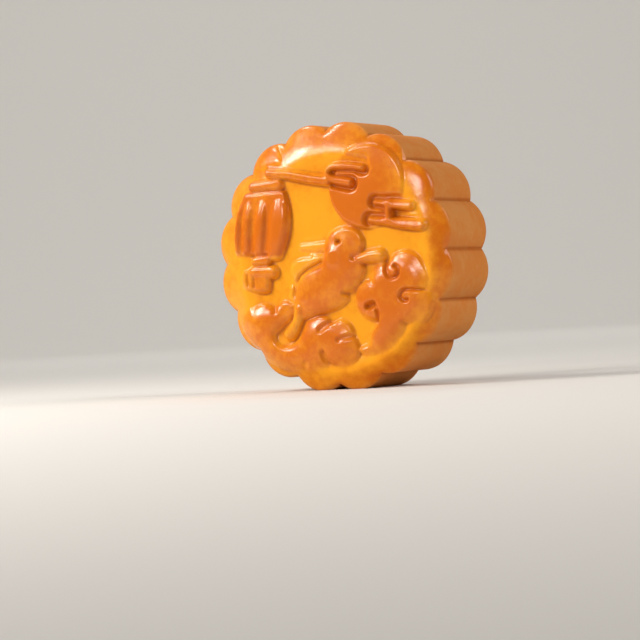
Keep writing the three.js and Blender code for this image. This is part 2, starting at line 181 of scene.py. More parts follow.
def strip(line, widths):
    """Signed distance to a round-ended strip along a bent line, its width given at every point."""
    nearest = np.full_like(sheet_u, np.inf)
    for (u0, v0), (u1, v1), w0, w1 in zip(line, line[1:], widths, widths[1:]):
        du, dv = u1 - u0, v1 - v0
        share = np.clip(((sheet_u - u0) * du + (sheet_v - v0) * dv) / (du * du + dv * dv), 0, 1)
        away = np.hypot(sheet_u - u0 - share * du, sheet_v - v0 - share * dv)
        nearest = np.minimum(nearest, away - (w0 + (w1 - w0) * share) / 2)
    return nearest


def between(a, b, c, d, t):
    """The value a share t of the way from b to c, on a smooth curve that also passes a and d."""
    bend = (2 * a - 5 * b + 4 * c - d) * t * t
    twist = (3 * b - a - 3 * c + d) * t ** 3
    return (2 * b + (c - a) * t + bend + twist) / 2


def curve(points, steps=8, closed=False):
    """A smooth line through a few points, or a smooth loop round them."""
    ends = [points[-1], *points, *points[:2]] if closed else [points[0], *points, points[-1]]
    line = []
    for p0, p1, p2, p3 in zip(ends, ends[1:], ends[2:], ends[3:]):
        for step in range(steps):
            share = step / steps
            line.append(tuple(between(a, b, c, d, share) for a, b, c, d in zip(p0, p1, p2, p3)))
    return line if closed else line + [points[-1]]


def widths_along(line, widths):
    """The widths of a few evenly spaced points, spread over all the points of a line."""
    return np.interp(np.linspace(0, 1, len(line)), np.linspace(0, 1, len(widths)), widths)


moon_disc = oval(14.2, 19.9, 12.5, 12.5)

left_cloud_line = curve([
    (13.6, 25.2), (10, 25.9), (6.2, 26.3), (3.4, 26.2), (1.9, 25.3), (2.0, 23.7), (3.7, 22.5),
    (6.6, 21.8), (9.0, 21.2),
])
left_cloud_widths = widths_along(left_cloud_line, [2.1, 2.2, 2.3, 2.2, 2.0, 2.2, 2.6, 2.9, 2.9])
left_cloud = strip(left_cloud_line, left_cloud_widths)
left_cloud_floor = strip([(4.6, 24.3), (10.4, 23.7)], [1.3, 1.3])
left_cloud_pocket = strip([(1, 30), (9.5, 27.8), (14.2, 26.9)], [4.0, 2.2, 2.0])
cloud_wisp = strip([(-1.9, 29.4), (1.6, 27.9)], [1.3, 1.0])

stub_line = [(17.2, 14.9), (21.0, 14.2)]
top_line = [(21.4, 14.1), (28.4, 13.3)]
foot_line = [(15.3, 9.9), (20, 9.2), (25, 8.3), (31.7, 7.4)]
right_cloud_stub = strip(stub_line, [1.9, 2.1])
right_cloud_top = strip(top_line, [2.9, 3.4])
right_cloud_post = strip([(21.4, 14), (21.5, 9.6)], [2.5, 2.5])
right_cloud_foot = strip(foot_line, [2.3, 2.6, 3.4, 3.9])
right_cloud = np.minimum.reduce([right_cloud_stub, right_cloud_top, right_cloud_post, right_cloud_foot])
right_cloud_pit = strip([(23.6, 11.6), (27.2, 11.0)], [1.5, 0.9])
right_cloud_ridge = strip([(28.0, 10.7), (30.8, 10.4)], [0.9, 0.9])

moon_cut = np.minimum(left_cloud, right_cloud) - channel_width
moon_outline = np.maximum.reduce([moon_disc, -moon_cut, -left_cloud_pocket])
moon_bed = np.maximum.reduce([moon_disc, -left_cloud_pocket, -right_cloud_pit])
moon_fall = moon_lean * np.maximum(sheet_u - moon_level, 0) + moon_bend * fall_at(sheet_u, sheet_v)


def up_from(line):
    """How far each place lies to the upper left of its nearest point on a bent line."""
    nearest = np.full_like(sheet_u, np.inf)
    above = np.zeros_like(sheet_u)
    for (u0, v0), (u1, v1) in zip(line, line[1:]):
        du, dv = u1 - u0, v1 - v0
        share = np.clip(((sheet_u - u0) * du + (sheet_v - v0) * dv) / (du * du + dv * dv), 0, 1)
        x, y = sheet_u - u0 - share * du, sheet_v - v0 - share * dv
        closer = np.hypot(x, y) < nearest
        nearest = np.where(closer, np.hypot(x, y), nearest)
        above = np.where(closer, upper_left[1] * y + upper_left[0] * x, above)
    return above


def slope_length(line, start):
    """How far up its upper left side a place lies, counted from a little way off the line."""
    return np.maximum(up_from(line) - start, 0)


def only_on(bar):
    """0 on one bar of a band, and more than any slope away from it."""
    return off_the_bar * (bar > bar_margin)


left_slope = band_slope * slope_length(left_cloud_line, 0.1)
right_slope = band_slope * np.minimum.reduce([
    slope_length(stub_line, -0.4) + only_on(right_cloud_stub),
    slope_length(top_line, -0.6) + only_on(right_cloud_top),
    slope_length(foot_line, -0.6) + only_on(right_cloud_foot),
    only_on(right_cloud_post),
])


def raise_edge(distance, rise, edge):
    """A raised shape with a rounded shoulder of the given width and a level top."""
    depth = np.clip(-distance / edge, 0, 1)
    top = rise * np.sqrt(1 - (1 - depth) ** 2)
    return np.where(distance < 0, top, deep_floor)


def soften(sheet, sigma):
    """Blurs a sheet with a bell curve of the given width in millimetres."""
    half = int(math.ceil(3 * sigma / sheet_step))
    bell = np.exp(-0.5 * (np.arange(-half, half + 1) * sheet_step / sigma) ** 2)
    bell /= bell.sum()
    padded = np.pad(sheet, half, mode="edge")
    rows = sum(w * padded[i:i + sheet.shape[0], :] for i, w in enumerate(bell))
    return sum(w * rows[:, i:i + sheet.shape[1]] for i, w in enumerate(bell))


def plump(distance, rise, edge, crown, belly):
    """A raised shape whose top goes on swelling to its middle, its edge crisper on the freed side."""
    inside = soften(np.clip(0.5 - distance / sheet_step, 0, 1), belly)
    swell = 1 - crown + crown * smoothstep(2 * inside - 1)
    slope_v, slope_u = np.gradient(distance, sheet_step)
    freed = soften(np.clip(freed_side[0] * slope_u + freed_side[1] * slope_v, 0, 1), freed_softness)
    raised = raise_edge(distance, rise, edge * (1 - freed_narrower * freed))
    return np.where(distance < 0, raised * swell, deep_floor)


moon = np.maximum.reduce([
    plump(moon_outline, moon_rise, 1.1, crown=0.08, belly=3.0) - moon_fall,
    raise_edge(moon_bed, channel_floor, 0.6),
    raise_edge(left_cloud, band_rise, np.where(left_slope > 0, crisp_edge, 0.9)) - left_slope,
    raise_edge(left_cloud_floor, 1.5, 0.6),
    raise_edge(cloud_wisp, 0.4, 0.6),
    raise_edge(right_cloud, band_rise, 1.0) - right_slope,
    raise_edge(right_cloud_ridge, 1.2, 0.5),
])

# -----------------------------------------------------------------------------
# The carrying pole, a straight round rod from the cloud to the lantern's cap, and
# the knob on the border that its far end hooks under.
# -----------------------------------------------------------------------------
pole_rise = 2.6
knob_rise = 0.55
outline_margin = 4.0           # distances to an outline are worked out no farther off than this
pole_line = [(-18.6, 26.1), (-12, 25.2), (-5, 23.5), (1.5, 22.2)]
pole_rod = strip(pole_line, [3.0, 3.2, 3.3, 3.2])
pole_slope = band_slope * slope_length(pole_line, 0.3)


def outline(points):
    """Signed distance to a smooth loop round a few points, negative inside."""
    loop = curve(points, 6, closed=True)
    low, high = np.min(loop, axis=0) - outline_margin, np.max(loop, axis=0) + outline_margin
    columns_in = slice(*np.searchsorted(sheet_line, (low[0], high[0])))
    rows_in = slice(*np.searchsorted(sheet_line, (low[1], high[1])))
    u, v = sheet_u[rows_in, columns_in], sheet_v[rows_in, columns_in]
    nearest = np.full_like(u, np.inf)
    inside = np.zeros(u.shape, bool)
    for (u0, v0), (u1, v1) in zip(loop, loop[1:] + loop[:1]):
        du, dv = u1 - u0, v1 - v0
        share = np.clip(((u - u0) * du + (v - v0) * dv) / (du * du + dv * dv), 0, 1)
        nearest = np.minimum(nearest, np.hypot(u - u0 - share * du, v - v0 - share * dv))
        if dv:
            inside ^= ((v0 > v) != (v1 > v)) & (u < u0 + (v - v0) * du / dv)
    distance = np.full_like(sheet_u, outline_margin)
    distance[rows_in, columns_in] = np.where(inside, -nearest, nearest)
    return distance


hook_knob = outline([
    (-14.7, 28.6), (-14.9, 31.0), (-16.6, 33.6), (-20, 38.5), (-30, 35), (-34, 27), (-28, 25.6),
    (-22, 27.2), (-18.4, 28.0),
])
bare_face = bare_height(sheet_u, sheet_v) - field_height
pole = np.maximum(
    raise_edge(pole_rod, pole_rise, np.where(pole_slope > 0, crisp_edge, 1.1)) - pole_slope,
    np.where(hook_knob < 0, bare_face + raise_edge(hook_knob, knob_rise, 2.6), deep_floor),
)

# -----------------------------------------------------------------------------
# The lantern: a barrel of four swelling ribs under a flat cap, with a neck, a knot
# and a short tassel hanging from it.
# -----------------------------------------------------------------------------
rib_rise = 2.6
rib_corner = 1.3
rib_top = 21.3
rib_gap = 0.12
rib_sides = [                  # u of each joint between the ribs, at the foot, the middle and the top
    (-31.8, -31.7, -28.2),
    (-29.9, -29.4, -26.8),
    (-25.9, -25.2, -23.1),
    (-21.6, -20.0, -18.3),
    (-16.2, -12.3, -13.3),
]
rib_feet = [2.4, 1.9, 1.4, -0.2]
top_fall, foot_fall = 2.0, 0.7     # the ribs fall away by this much towards the cap and the neck
barrel_end = (sheet_v - rib_top / 2) / (rib_top / 2)
barrel_fall = np.where(barrel_end > 0, top_fall, foot_fall) * np.clip(np.abs(barrel_end), 0, 1) ** 2


def rib_side(places):
    """A joint between two ribs as a smooth arc through its foot, middle and top."""
    foot, middle, top = places
    share = np.clip(sheet_v / rib_top, 0, 1)
    return foot + (4 * middle - 3 * foot - top) * share + (2 * foot + 2 * top - 4 * middle) * share ** 2


barrel_left, barrel_right = rib_side(rib_sides[0]), rib_side(rib_sides[-1])
barrel = np.maximum.reduce([
    barrel_left - sheet_u, sheet_u - barrel_right, sheet_v - rib_top, rib_feet[0] - 0.9 - sheet_v,
])
ribs = raise_edge(barrel + 0.6, 1.5, 0.8)
for left, right, foot in zip(rib_sides, rib_sides[1:], rib_feet):
    left_side, right_side = rib_side(left), rib_side(right)
    half_rib = (right_side - left_side) / 2 - rib_gap
    across = np.abs(sheet_u - (left_side + right_side) / 2) - half_rib
    upright = np.maximum(foot - sheet_v, sheet_v - rib_top)
    corner = np.hypot(np.maximum(across + rib_corner, 0), np.maximum(upright + rib_corner, 0))
    side = np.maximum(across, upright)
    rib = np.where(side < -rib_corner, side, corner - rib_corner)
    rib_edge = np.clip(0.9 * half_rib, 0.8, 2.8)
    ribs = np.maximum(ribs, raise_edge(rib, rib_rise, rib_edge) - barrel_fall)


def groove(line, width, depth):
    """A rounded channel pressed along a line, as a depth to take away."""
    reach = np.maximum(strip(line, [0.0] * len(line)), 0) / (width / 2)
    return depth * np.clip(1 - reach ** 2, 0, 1)


cap = strip([(-25.0, 22.5), (-15.6, 22.6)], [3.0, 3.8])
cap_lip = groove([(-24.9, 21.6), (-18.2, 21.0)], 0.7, 0.5)
neck = strip([(-25.2, 0.2), (-21.3, 0.4)], [3.2, 3.4])
knot = strip([(-26.0, -3.1), (-19.4, -3.3)], [4.0, 4.2])
tassel = outline([
    (-29.6, -2.6), (-29.7, -7.6), (-26, -9.0), (-22.4, -9.6), (-20.6, -8.2), (-20.6, -3.2), (-25, -2.0),
])
tassel_grooves = np.maximum(
    groove([(-28.0, -3.6), (-27.8, -7.0)], 0.9, 0.8),
    groove([(-25.7, -3.6), (-25.7, -7.6)], 0.9, 0.8),
)
lantern = np.maximum.reduce([
    ribs,
    raise_edge(cap, 2.0, 1.2) - cap_lip,
    raise_edge(neck, 1.9, 1.2),
    raise_edge(knot, 2.1, 1.6),
    raise_edge(tassel, 1.9, 1.5) - tassel_grooves,
])

# -----------------------------------------------------------------------------
# The rabbit: a round head and a plump body, two ears laid back along the field, a
# forepaw held out, a long hind foot and a flat tail.
# -----------------------------------------------------------------------------
trunk = outline([
    (-1.3, 3.2), (-0.2, 6.0), (2.6, 8.0), (6.5, 8.6), (10.4, 7.2), (12.3, 4.2), (11.8, 1.4),
    (10.9, -0.8), (12.2, -3.8), (11.3, -6.6), (8.4, -10.1), (6.4, -11.4), (5.9, -13.2), (2.5, -15.4),
    (-4.5, -17.0), (-10.4, -18.0), (-12.1, -14.2), (-12.0, -9.6), (-10.5, -5.7), (-7.4, -3.5),
    (-3.2, -2.0), (-1.7, -0.1),
])
chin_fold = groove([(11.6, -0.9), (9.0, -0.6)], 2.2, 0.7)
belly_fold = groove([(7.4, -11.6), (5.0, -11.0)], 1.8, 0.9)
cheek_rise, cheek_spread = 0.8, 2.4
cheek = cheek_rise * np.exp(-(np.hypot(sheet_u - 2.0, sheet_v + 0.1) / cheek_spread) ** 2)
eye_pit = 1.3 * (1 - smoothstep((oval(4.1, 4.3, 0.8, 0.65) + 0.4) / 0.8))

long_ear = outline([
    (-1.4, 0.5), (-4.4, 1.3), (-8.6, 0.9), (-12.2, -0.3), (-13.4, -2.8), (-12.7, -5.8), (-11.2, -7.6),
    (-9.6, -5.4), (-6.6, -3.4), (-2.8, -2.0),
])
ear_fold = groove(curve([(-12.4, -0.6), (-9.5, 0.4), (-6.0, 0.5)]), 1.3, 0.55)
ear_ridge = strip([(-10.8, -0.7), (-5.2, -1.0)], [0.9, 0.9])
neck_fold = groove(curve([(-11.9, -7.6), (-9.8, -4.9), (-6.6, -2.9), (-2.6, -1.3)]), 1.1, 0.9)
far_ear = strip([(-1.0, 3.2), (-9.2, 3.4)], [3.4, 2.4])
far_ear_rim = strip([(-1.6, 5.8), (-7.6, 5.4)], [1.0, 0.8])

forepaw = strip([(10.2, -1.3), (13.6, -0.7), (17.2, -0.6)], [3.0, 4.2, 4.7])
hind_foot_line = curve([(-10.6, -14.6), (-12.1, -19), (-14.6, -22.0)])
hind_foot = strip(hind_foot_line, widths_along(hind_foot_line, [4.0, 3.7, 4.5]))
tail = strip([(-13.1, -8.5), (-13.4, -11), (-12.7, -13.6)], [1.8, 2.0, 2.0])

rabbit = np.maximum.reduce([
    plump(trunk, 2.3, 2.2, crown=0.35, belly=3.6) + cheek - eye_pit - np.maximum(belly_fold, chin_fold),
    raise_edge(long_ear, 1.15, 2.4) - np.maximum(ear_fold, neck_fold),
    raise_edge(ear_ridge, 1.25, 0.5),
    raise_edge(far_ear, 0.7, 1.6),
    raise_edge(far_ear_rim, 0.25, 0.5),
    raise_edge(forepaw, 2.1, 2.3),
    raise_edge(hind_foot, 1.9, 2.0),
    raise_edge(tail, 0.8, 1.0),
])

# -----------------------------------------------------------------------------
# The bank of cloud under the rabbit: one swelling mass that runs out over the
# border, its upper edge in lobes, and pressed in again where the foot lies on it.
# -----------------------------------------------------------------------------
bank = outline([
    (-31.0, -15.6), (-27.5, -13.2), (-23.5, -12.4), (-19.8, -13.5), (-16.5, -12.1), (-13.2, -12.8),
    (-12.5, -15.0), (-14.3, -17.6), (-16.8, -19.6), (-19.2, -22.0), (-18.6, -24.4), (-15.5, -25.3),
    (-12.2, -23.6), (-10.1, -20.2), (-8.7, -18.4), (-4.5, -17.2), (-1.2, -17.7), (0.1, -19.2),
    (3.2, -18.4), (6.1, -20.0), (7.4, -22.8), (7.6, -24.2), (8.9, -27.5), (7.8, -31.0), (3.6, -33.0),
    (-0.6, -32.3), (-5.0, -33.8), (-14.0, -33.6), (-22.0, -31.0), (-29.0, -25.0), (-32.4, -19.0),
])
bank_creases = np.maximum.reduce([
    groove(curve([(0.8, -17.8), (-1.0, -19.5), (-3.6, -21.2)]), 2.4, 1.0),
    groove(curve([(8.4, -23.7), (5.4, -23.7), (2.6, -24.4)]), 1.8, 0.8),
    groove(curve([(-3.0, -27.8), (-2.6, -29.6), (-1.2, -31.4), (0.8, -32.8), (3.0, -33.8)]), 2.0, 1.0),
    groove([(-20.2, -12.0), (-19.2, -15.0)], 2.2, 0.7),
    groove([(-10.4, -34.0), (-9.2, -31.0)], 2.4, 0.45),
])
bank_bend = 0.8                # the mass bends over the shoulder with this share of its fall
bank_fall = bank_bend * fall_at(sheet_u, sheet_v)
cloud_bank = plump(bank, 2.55, 2.4, crown=0.5, belly=3.2) - bank_creases - bank_fall

# -----------------------------------------------------------------------------
# The curling cloud at the right: lobes whose ends roll in to small beads and pits,
# over a broad stem that hooks round to a blunt tip.
# -----------------------------------------------------------------------------
curling = outline([
    (19.7, -2.4), (21.6, -0.5), (25.5, 0.4), (29.6, -1.2), (32.2, -4.8), (33.4, -8.2),
    (32.9, -10.8), (33.6, -13.8), (33.1, -17.4), (30.4, -20.6), (25.8, -21.4), (23.8, -24.0),
    (19.8, -28.1), (14.0, -29.7), (9.6, -29.0), (8.6, -27.2), (11.6, -25.9), (12.3, -23.6),
    (13.5, -21.4), (15.4, -19.8), (12.0, -18.9), (9.3, -16.4), (8.2, -13.0), (9.3, -9.4),
    (12.2, -7.5), (13.9, -6.3), (15.3, -3.7), (17.5, -2.5),
])
top_curl = curve([
    (19.6, -2.2), (19.6, -5.0), (20.7, -6.9), (22.3, -7.3), (23.6, -6.3), (23.8, -4.8), (22.6, -3.8),
])
right_curl = curve([
    (33.6, -11.5), (30, -11.2), (26.6, -10.9), (24.8, -11.4), (24.2, -12.9), (25.2, -14.1),
    (26.4, -13.9),
])
left_curl = curve([(15.0, -14.6), (16.1, -16.2), (16.3, -18.2), (15.4, -20.2)])
curl_cuts = np.maximum.reduce([
    groove(top_curl, 1.4, 1.2),
    groove(right_curl, 1.3, 1.1),
    groove(left_curl, 1.4, 1.1),
    groove([(12.9, -15.2), (14.8, -14.7)], 2.6, 1.9),
    groove([(12.8, -7.0), (15.0, -8.4)], 2.0, 0.6),
    groove([(26.4, -22.0), (24.4, -20.4)], 2.0, 0.7),
])
curling_cloud = plump(curling, 2.55, 2.2, crown=0.5, belly=3.4) - curl_cuts

# -----------------------------------------------------------------------------
# The skin of the cake. The carving is laid over the face, filleted at its foot and
# softened a little by baking. The skin is one closed surface from the face over
# the shoulder and down the wall to the flat base.
# -----------------------------------------------------------------------------
foot_fillet = 0.3
rim_fillet = 1.8               # on the border the bank of cloud runs out in this softer one
rim_starts = 30                # the radius where that begins
rim_change = 3                 # and the width over which it grows
clear_rise = 0.3               # a figure is counted as one where it stands this far proud
moat_width = 0.5               # the field is pressed down a little along the foot of every figure
moat_depth = 0.25
baked_softness = 0.22
crevice_reach = 0.6            # a crevice is a place this much lower than the cake just round it
crevice_depth = 0.4
hollow_reach = 3.0             # and a hollow is the same, wider and deeper
hollow_depth = 1.5
hand_pressing = 0.07           # small unevenness from the hand, always inwards
hand_reach = 2.4
crest_dip = 0.12               # the border is a little lower where a crease runs up to it
face_rings = 104
shoulder_rows = 22
wall_rows = 20
base_edge_rows = 6
base_rows = 8
columns = 8 * face_rings


def read_sheet(sheet, u, v):
    """The sheet's value at any places on the face."""
    x = np.clip((u + sheet_reach) / sheet_step, 0, len(sheet_line) - 1.001)
    y = np.clip((v + sheet_reach) / sheet_step, 0, len(sheet_line) - 1.001)
    column, row = x.astype(int), y.astype(int)
    fx, fy = x - column, y - row
    low = sheet[row, column] * (1 - fx) + sheet[row, column + 1] * fx
    high = sheet[row + 1, column] * (1 - fx) + sheet[row + 1, column + 1] * fx
    return low * (1 - fy) + high * fy


def blend_max(first, second, width):
    """The higher of two surfaces, with a fillet where they meet."""
    near = np.maximum(width - np.abs(first - second), 0) / width
    return np.maximum(first, second) + near * near * width / 4


carving = np.maximum.reduce([moon, pole, lantern, rabbit, cloud_bank, curling_cloud])
figures = soften(np.clip((carving - bare_face) / clear_rise, 0, 1), moat_width)

# Over the border, at its lower left, the bank of cloud runs out softly and ends in no edge
over_rim = smoothstep((np.hypot(sheet_u - pressed_u, sheet_v - pressed_v) - rim_starts) / rim_change)
over_rim = over_rim * smoothstep(-sheet_v / 6) * smoothstep((8 - sheet_u) / 6)
moated_face = bare_face - moat_depth * figures * (1 - over_rim)
face = blend_max(moated_face, carving, foot_fillet + (rim_fillet - foot_fillet) * over_rim)
face = np.minimum(face, skin_top - field_height)
soft_face = soften(face, baked_softness)
lift = soft_face - soften(bare_face, baked_softness)
hollow = np.clip((soften(soft_face, hollow_reach) - soft_face) / hollow_depth, 0, 1)
# Painted shade: the colour is darkened in the narrow crevices of the face, and in its wide hollows,
# where shade falls
crevice_shade = np.clip((soften(soft_face, crevice_reach) - soft_face) / crevice_depth, 0, 1)
crevice_shade = np.maximum(crevice_shade * (1 - over_rim), 0.8 * smoothstep((hollow - 0.35) / 0.5))

# The painted shade in the crevices is darker at the lower right of a figure than at its upper left, a
# painted shadow cast away from the light
corner_reach, least_shade = 0.8, 0.3
rise_v, rise_u = np.gradient(soften(figures, corner_reach), sheet_step)
lower_right = np.clip(0.5 + rise_v - rise_u, 0, 1)
crevice_shade = crevice_shade * (least_shade + (1 - least_shade) * lower_right)

# How brown each figure bakes: the higher and the more open it stands, the browner
figure_browning = np.maximum.reduce([
    share * np.clip(0.5 - distance, 0, 1) for share, distance in (
        (1.0, moon_disc), (0.75, left_cloud), (0.9, right_cloud), (0.8, pole_rod), (1.2, hook_knob),
        (1.1, barrel), (0.9, cap), (0.8, neck), (0.75, knot), (0.75, tassel),
        (0.75, trunk), (0.2, long_ear), (0.15, far_ear), (0.5, forepaw), (0.4, hind_foot), (0.3, tail),
        (0.9, bank), (0.9, curling),
    )
])
fully_raised, glazed_from = 2.2, 1.2   # heights at which a figure is at its brownest, and glazed
figure_browning = figure_browning * (1 - 0.2 * smoothstep((-14 - sheet_v) / 14))
raised_share = smoothstep(lift / fully_raised)
browning_and_shade = soften(figure_browning * (0.55 + 0.45 * raised_share), 0.45)
# Round the figures the field is a little browner, and in the wide hollows it is painted darker, as
# painted shade
browning_and_shade = browning_and_shade + 0.2 * soften(raised_share, 2.6) + 0.3 * hollow
brushed = soften(smoothstep(lift / glazed_from), 0.4)
glaze = np.maximum(brushed, np.clip(1.8 * soften(figures, 0.5), 0, 1))
hand = np.random.default_rng(8)
uneven = soften(hand.standard_normal(sheet_u.shape), hand_reach)
uneven = np.clip(uneven / uneven.std(), -2, 2) * hand_pressing
lift = lift - hand_pressing - uneven / 2

# The disc of the face: rings of 8, 16, 24 ... points, even all the way out to the border's crest
grid = np.arange(-face_rings, face_rings + 1)
grid_i, grid_j = np.meshgrid(grid, grid)
wide = np.abs(grid_i) >= np.abs(grid_j)
longer = np.where(wide, grid_i, grid_j)
shorter = np.where(wide, grid_j, grid_i)
share = shorter / np.where(longer == 0, 1, longer)
turn = np.where(wide, share * math.pi / 4, math.pi / 2 - share * math.pi / 4)
disc_angle = np.arctan2(longer * np.sin(turn), longer * np.cos(turn)).ravel()
disc_radius = np.abs(longer).ravel() * border_reach(disc_angle) / face_rings
disc_u = disc_radius * np.cos(disc_angle)
disc_v = disc_radius * np.sin(disc_angle)
disc_index = np.arange(grid_i.size).reshape(grid_i.shape)
disc_faces = np.stack([
    disc_index[:-1, :-1], disc_index[:-1, 1:], disc_index[1:, 1:], disc_index[1:, :-1],
], axis=-1).reshape(-1, 4)

# The rim of the disc in order of angle, and the rows that go on from it
on_rim = np.flatnonzero(np.maximum(np.abs(grid_i), np.abs(grid_j)).ravel() == face_rings)
rim = on_rim[np.argsort(disc_angle[on_rim])]
rim_angle = disc_angle[rim]
rim_crest, rim_wall = border_reach(rim_angle), lobed_radius(math.pi / 2 - rim_angle)

row_radius, row_height = [], []
for row in range(1, shoulder_rows + 1):
    over = math.sin(row / shoulder_rows * math.pi / 2)
    row_radius.append(rim_crest + (shoulder_reach(rim_angle, over) - rim_crest) * over)
    row_height.append(border_height - shoulder_fall(over, rim_angle))
even = np.ones(columns)
for row in range(1, wall_rows + 1):
    row_radius.append(rim_wall)
    row_height.append(even * (wall_height + (base_rounding - wall_height) * row / wall_rows))
for row in range(1, base_edge_rows + 1):
    bend = row / base_edge_rows * math.pi / 2
    row_radius.append(rim_wall - base_rounding * (1 - math.cos(bend)))
    row_height.append(even * base_rounding * (1 - math.sin(bend)))
for row in range(1, base_rows):
    row_radius.append((rim_wall - base_rounding) * (1 - row / base_rows))
    row_height.append(even * 0)

side_u = (np.array(row_radius) * np.cos(rim_angle)).ravel()
side_v = (np.array(row_radius) * np.sin(rim_angle)).ravel()
side_height = np.array(row_height).ravel()

plan_u = np.concatenate([disc_u, side_u, [0]])
plan_v = np.concatenate([disc_v, side_v, [0]])
plan_radius = np.hypot(plan_u, plan_v)
plan_height = np.concatenate([bare_height(disc_u, disc_v), side_height, [0]])
on_face = np.concatenate([np.ones(disc_u.size), smoothstep((side_height - wall_height) / 1.5), [0]])
dip = crest_dip * ((1 + np.cos(lobes * np.arctan2(plan_u, plan_v))) / 2) ** 3
dip = dip * smoothstep((plan_radius - 29) / 7) * on_face
plan_height = plan_height - dip + read_sheet(lift, plan_u, plan_v) * on_face
plan_height = np.minimum(plan_height, skin_top)
# The rim bakes browner than the field, and unevenly; towards the right and the bottom it is painted
# darker still, as painted shade where the shoulder turns away from the light
low_down = smoothstep((-12 - plan_v) / 20)
rim_share = smoothstep((np.hypot(plan_u - pressed_u, plan_v - pressed_v) - 29.5) / 6)
rim_brown_and_shade = 0.6 + 0.32 * (0.9 * plan_u + 0.4 * plan_v) / crest_radius + 0.15 * low_down
skin_browning_and_shade = np.maximum(read_sheet(browning_and_shade, plan_u, plan_v), rim_share * rim_brown_and_shade)

# The creases of the wall are painted darker, as painted shade in them, but not where they would run on
# over the base
crease_width = 0.75
from_crease = np.mod(np.arctan2(plan_u, plan_v) + half_lobe, 2 * half_lobe) - half_lobe
crease_away = np.abs(from_crease) * plan_radius
crease_shade = 0.8 * np.exp(-(crease_away / crease_width) ** 2) * smoothstep((plan_radius - 33.5) / 3)

vertices = np.stack([
    plan_u,
    cake_high[1] - plan_height,
    np.maximum(plan_v + axis_height, 0),
], axis=-1) * MM

ring_faces = []
previous = rim
for row in range(len(row_radius)):
    current = disc_u.size + row * columns + np.arange(columns)
    ring_faces.append(np.stack([
        previous, current, np.roll(current, -1), np.roll(previous, -1),
    ], axis=-1))
    previous = current
middle = vertices.shape[0] - 1
fan = [(int(a), middle, int(b)) for a, b in zip(previous, np.roll(previous, -1))]
quads = np.concatenate([disc_faces, *ring_faces])

# -----------------------------------------------------------------------------
# The crust, thin syrup pastry all the way round. The face is brushed with egg and
# bakes to a glossy gold, browner where it stands proud, and the wall stays bare,
# matte and paler. The base lies on the tray and bakes browner again.
# -----------------------------------------------------------------------------
golden = (0.87, 0.345, 0.015, 1)
brown_orange = (0.62, 0.138, 0.003, 1)
# the colour of the painted shade laid into crevices, hollows and the wall's creases
shade_brown = (0.34, 0.06, 0.002, 1)
wall_tan = (0.63, 0.25, 0.065, 1)
tray_brown = (0.42, 0.13, 0.025, 1)

skin = bpy.data.meshes.new("mooncake_skin")
skin.from_pydata(vertices.tolist(), [], quads.tolist() + fan)
skin.validate()
skin.shade_smooth()
for name, values in (
    ("browning_and_shade", skin_browning_and_shade),
    ("crevice_shade", read_sheet(crevice_shade, plan_u, plan_v) * on_face + crease_shade * (1 - on_face)),
    ("height", plan_height),
    ("glaze", np.maximum(rim_share * (1 - 0.75 * low_down), read_sheet(glaze, plan_u, plan_v))),
):
    skin.attributes.new(name, "FLOAT", "POINT").data.foreach_set("value", values.astype(np.float32))

crust = bpy.data.materials.new("baked_crust_skin")
crust.use_nodes = True
nodes, links = crust.node_tree.nodes, crust.node_tree.links
nodes.clear()
output = nodes.new("ShaderNodeOutputMaterial")
shader = nodes.new("ShaderNodeBsdfPrincipled")
links.new(shader.outputs["BSDF"], output.inputs["Surface"])
place = nodes.new("ShaderNodeTexCoord")


def attribute(name):
    """Reads one of the skin's own values."""
    node = nodes.new("ShaderNodeAttribute")
    node.attribute_name = name
    return node.outputs["Fac"]


def noise(scale, detail, roughness=0.5):
    """A noise over the cake, its scale in bumps for each metre."""
    node = nodes.new("ShaderNodeTexNoise")
    node.inputs["Scale"].default_value = scale
    node.inputs["Detail"].default_value = detail
    node.inputs["Roughness"].default_value = roughness
    links.new(place.outputs["Object"], node.inputs["Vector"])
    return node.outputs["Fac"]


def spread(value, from_low, from_high, to_low, to_high):
    """Maps a value from one range to another, smoothly and held at both ends."""
    node = nodes.new("ShaderNodeMapRange")
    node.interpolation_type = "SMOOTHSTEP"
    ends = {"From Min": from_low, "From Max": from_high, "To Min": to_low, "To Max": to_high}
    for name, number in ends.items():
        node.inputs[name].default_value = number
    links.new(value, node.inputs["Value"])
    return node.outputs["Result"]


def combine(operation, first, second):
    """One arithmetic step on two values or numbers."""
    node = nodes.new("ShaderNodeMath")
    node.operation = operation
    for socket, value in zip(node.inputs, (first, second)):
        if isinstance(value, (int, float)):
            socket.default_value = value
        else:
            links.new(value, socket)
    return node.outputs["Value"]


def mix_colour(share, first, second):
    """Goes from the first colour to the second."""
    node = nodes.new("ShaderNodeMix")
    node.data_type = "RGBA"
    for name, value in (("Factor_Float", share), ("A_Color", first), ("B_Color", second)):
        socket = next(s for s in node.inputs if s.identifier == name)
        if isinstance(value, tuple):
            socket.default_value = value
        else:
            links.new(value, socket)
    return next(s for s in node.outputs if s.identifier == "Result_Color")


patches = noise(90, 3)
blotches = noise(420, 4, 0.6)
pores = noise(1700, 3, 0.6)

# The browning attribute carries the baked browning together with painted shade
brown_and_shade_share = combine("ADD", attribute("browning_and_shade"), spread(patches, 0.35, 0.65, -0.14, 0.14))
brown_and_shade_share = combine("ADD", brown_and_shade_share, spread(blotches, 0.3, 0.7, -0.16, 0.16))
glazed = mix_colour(spread(brown_and_shade_share, 0, 1.15, 0, 1), golden, brown_orange)

